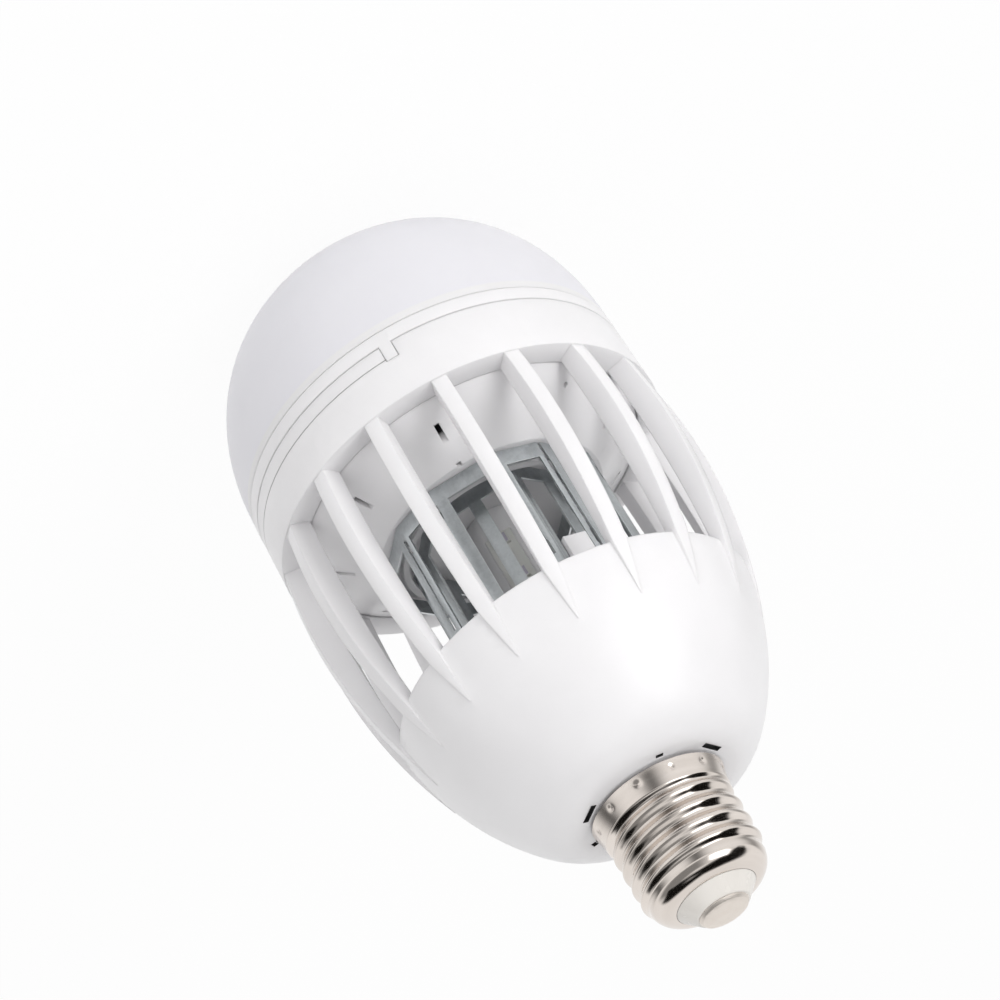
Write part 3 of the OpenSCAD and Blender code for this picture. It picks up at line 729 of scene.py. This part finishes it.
outer = [(DOME_R - 0.3, RIM_TOP), (DOME_R - 0.09, RIM_TOP + 0.09), (DOME_R, RIM_TOP + 0.3)]
outer += dome_outline(DOME_R, DOME_H, 64)
inner = dome_outline(DOME_R - DOME_WALL, DOME_H - DOME_WALL, 48)
inner.reverse()
inner += [(DOME_R - DOME_WALL, RIM_TOP)]
dome = lathe("diffuser_dome", list(reversed(outer)) + [(DOME_R - DOME_WALL, RIM_TOP)] + list(reversed(inner))[1:], 192)
finish_piece(dome, "diffuser", "milky_plastic", milky_plastic)
painted_rim_light(milky_plastic)
print("dome faces:", len(dome.data.polygons))

# %% [markdown]
# ## Floor and light
# A pale floor lies under the lamp. The camera and mirror-like surfaces see it partly as plain
# white, which is what a white studio looks like, and the rest of it is lit, so it keeps the
# lamp's shadow. One big soft lamp stands to the camera's right and one weak lamp fills.

# %% Lay the floor
def white_floor():
    material = bpy.data.materials.new("studio_floor")
    material.use_nodes = True
    tree = material.node_tree
    tree.nodes.clear()
    output = tree.nodes.new("ShaderNodeOutputMaterial")
    lit = tree.nodes.new("ShaderNodeBsdfDiffuse")
    lit.inputs["Color"].default_value = (0.9, 0.9, 0.9, 1)
    plain = tree.nodes.new("ShaderNodeEmission")
    path = tree.nodes.new("ShaderNodeLightPath")
    seen = tree.nodes.new("ShaderNodeMath")
    seen.operation = "MAXIMUM"
    tree.links.new(path.outputs["Is Camera Ray"], seen.inputs[0])
    tree.links.new(path.outputs["Is Glossy Ray"], seen.inputs[1])
    also = tree.nodes.new("ShaderNodeMath")
    also.operation = "MAXIMUM"
    tree.links.new(seen.outputs[0], also.inputs[0])
    tree.links.new(path.outputs["Is Transmission Ray"], also.inputs[1])
    share = tree.nodes.new("ShaderNodeMath")
    share.operation = "MULTIPLY"
    share.inputs[1].default_value = 0.94
    tree.links.new(also.outputs[0], share.inputs[0])
    mix = tree.nodes.new("ShaderNodeMixShader")
    tree.links.new(share.outputs[0], mix.inputs["Fac"])
    tree.links.new(lit.outputs[0], mix.inputs[1])
    tree.links.new(plain.outputs[0], mix.inputs[2])
    tree.links.new(mix.outputs[0], output.inputs["Surface"])
    return material


FLOOR_GAP = 0.0006
floor_z = cad_box[0].z - FLOOR_GAP
mesh = bpy.data.meshes.new("floor")
side = 4.0
mesh.from_pydata([(-side, -side, floor_z), (side, -side, floor_z), (side, side, floor_z), (-side, side, floor_z)],
                 [], [(0, 1, 2, 3)])
floor = bpy.data.objects.new("floor", mesh)
scene.collection.objects.link(floor)
floor.data.materials.append(white_floor())
print("floor at", round(floor_z, 4))

# %% Hang the lamps
CENTRE = Vector((0, 0, -0.085))


def studio_point(right, up, back):
    return CENTRE + CAMERA_RIGHT * right + CAMERA_UP * up - CAMERA_FORWARD * back


def soft_lamp(name, place, size, power):
    data = bpy.data.lights.new(name, "AREA")
    data.shape = "DISK"
    data.size = size
    data.energy = power
    lamp = bpy.data.objects.new(name, data)
    scene.collection.objects.link(lamp)
    lamp.visible_glossy = False
    lamp.location = place
    lamp.rotation_mode = "QUATERNION"
    lamp.rotation_quaternion = (CENTRE - place).to_track_quat("-Z", "Y")
    return lamp


soft_lamp("key", studio_point(0.65, 0.45, 0.9), 0.7, 6.2)
soft_lamp("fill", studio_point(-0.9, 0.3, 0.9), 0.9, 3.6)
soft_lamp("top", Vector((0.1, -0.15, 0.95)), 0.8, 1.9)

# %% [markdown]
# Bare metal shows what stands round it. A studio is partly dark, so the shiny cap has deep
# streaks. Two hoods, seen only in reflections, give them. Each is a part of a ball round the
# cap, clear where its darkness is 0 and black where it is 1. Azimuth 0 is towards the camera.
# The lamps stay out of the reflections, and a soft glow on the high hood stands for the key.

# %% Stand the dark hoods
CAP_MIDDLE = Vector((0, 0, -0.014))


def window(value, start, full, fall, end):
    return smoothstep(start, full, value) * (1 - smoothstep(fall, end, value))


def high_darkness(azimuth, elevation):
    a, e = math.radians(azimuth), math.radians(elevation)
    over = math.degrees(math.atan2(math.sin(e), math.cos(a) * math.cos(e)))
    aside = math.degrees(math.asin(math.sin(a) * math.cos(e)))
    rim = 88 + 0.45 * abs(aside)
    above = window(over, 54, 66, rim, rim + 14) * window(aside, -86, -72, 54, 66)
    beside = window(elevation, 8, 20, 46, 56)
    beside *= 0.72 * window(azimuth, -30, 0, 84, 108) + 0.25 * window(azimuth, -118, -100, -30, 0)
    pale_spot = math.exp(-((aside - 14) / 8) ** 2 - ((over - 76) / 4) ** 2)
    return max(above, beside) * (1 - 0.35 * pale_spot) * (1 - key_glow(azimuth, elevation))


def key_glow(azimuth, elevation):
    return window(azimuth, -74, -64, -34, -24) * window(elevation, 14, 22, 38, 46)


def no_glow(azimuth, elevation):
    return 0.0


def low_darkness(azimuth, elevation):
    lobes = sum(share * math.exp(-((azimuth - middle) / half) ** 2)
                for middle, half, share in ((78, 20, 0.85), (-8, 17, 0.8), (-118, 18, 0.6)))
    return lobes * window(elevation, -58, -42, 0, 8)


def hood_finish():
    material = bpy.data.materials.new("hood")
    material.use_nodes = True
    tree = material.node_tree
    tree.nodes.clear()
    dark = add_node(material, "ShaderNodeAttribute", attribute_name="darkness")
    clear = add_node(material, "ShaderNodeBsdfTransparent")
    black = add_node(material, "ShaderNodeBsdfDiffuse", Color=(0.012, 0.011, 0.010, 1))
    mix = add_node(material, "ShaderNodeMixShader", [("Fac", dark.outputs["Fac"])])
    tree.links.new(clear.outputs[0], mix.inputs[1])
    tree.links.new(black.outputs[0], mix.inputs[2])
    glow = add_node(material, "ShaderNodeAttribute", attribute_name="glow")
    light = add_node(material, "ShaderNodeEmission", [("Strength", glow.outputs["Fac"])])
    both = add_node(material, "ShaderNodeAddShader")
    tree.links.new(mix.outputs[0], both.inputs[0])
    tree.links.new(light.outputs[0], both.inputs[1])
    add_node(material, "ShaderNodeOutputMaterial", [("Surface", both.outputs[0])])
    return material


def hood(name, distance, azimuths, elevations, darkness, glow, material):
    columns, rows = 120, 40
    points, levels, glows = [], [], []
    for i in range(columns + 1):
        for k in range(rows + 1):
            azimuth = azimuths[0] + (azimuths[1] - azimuths[0]) * i / columns
            elevation = elevations[0] + (elevations[1] - elevations[0]) * k / rows
            a, e = math.radians(azimuth), math.radians(elevation)
            points.append(CAP_MIDDLE + distance * Vector((math.sin(a) * math.cos(e), -math.cos(a) * math.cos(e), math.sin(e))))
            levels.append(darkness(azimuth, elevation))
            glows.append(1.7 * glow(azimuth, elevation))
    faces = [(i * (rows + 1) + k, (i + 1) * (rows + 1) + k, (i + 1) * (rows + 1) + k + 1, i * (rows + 1) + k + 1)
             for i in range(columns) for k in range(rows)]
    mesh = bpy.data.meshes.new(name)
    mesh.from_pydata(points, [], faces)
    mesh.attributes.new("darkness", "FLOAT", "POINT").data.foreach_set("value", levels)
    mesh.attributes.new("glow", "FLOAT", "POINT").data.foreach_set("value", glows)
    mesh.materials.append(material)
    piece = bpy.data.objects.new(name, mesh)
    scene.collection.objects.link(piece)
    piece.visible_camera = piece.visible_diffuse = piece.visible_shadow = piece.visible_transmission = False


hood_material = hood_finish()
hood("high_hood", 1.6, (-180, 180), (5, 90), high_darkness, key_glow, hood_material)
hood("low_hood", 0.15, (-150, 130), (-60, 10), low_darkness, no_glow, hood_material)

world = bpy.data.worlds.new("studio")
scene.world = world
world.use_nodes = True
tree = world.node_tree
background = tree.nodes["Background"]
background.inputs["Color"].default_value = (1, 1, 1, 1)
path = tree.nodes.new("ShaderNodeLightPath")
first = tree.nodes.new("ShaderNodeMath")
first.operation = "MAXIMUM"
tree.links.new(path.outputs["Is Camera Ray"], first.inputs[0])
tree.links.new(path.outputs["Is Glossy Ray"], first.inputs[1])
second = tree.nodes.new("ShaderNodeMath")
second.operation = "MAXIMUM"
tree.links.new(first.outputs[0], second.inputs[0])
tree.links.new(path.outputs["Is Transmission Ray"], second.inputs[1])
level = tree.nodes.new("ShaderNodeMapRange")
level.inputs["To Min"].default_value = 0.62
level.inputs["To Max"].default_value = 1.0
tree.links.new(second.outputs[0], level.inputs["Value"])
tree.links.new(level.outputs["Result"], background.inputs["Strength"])
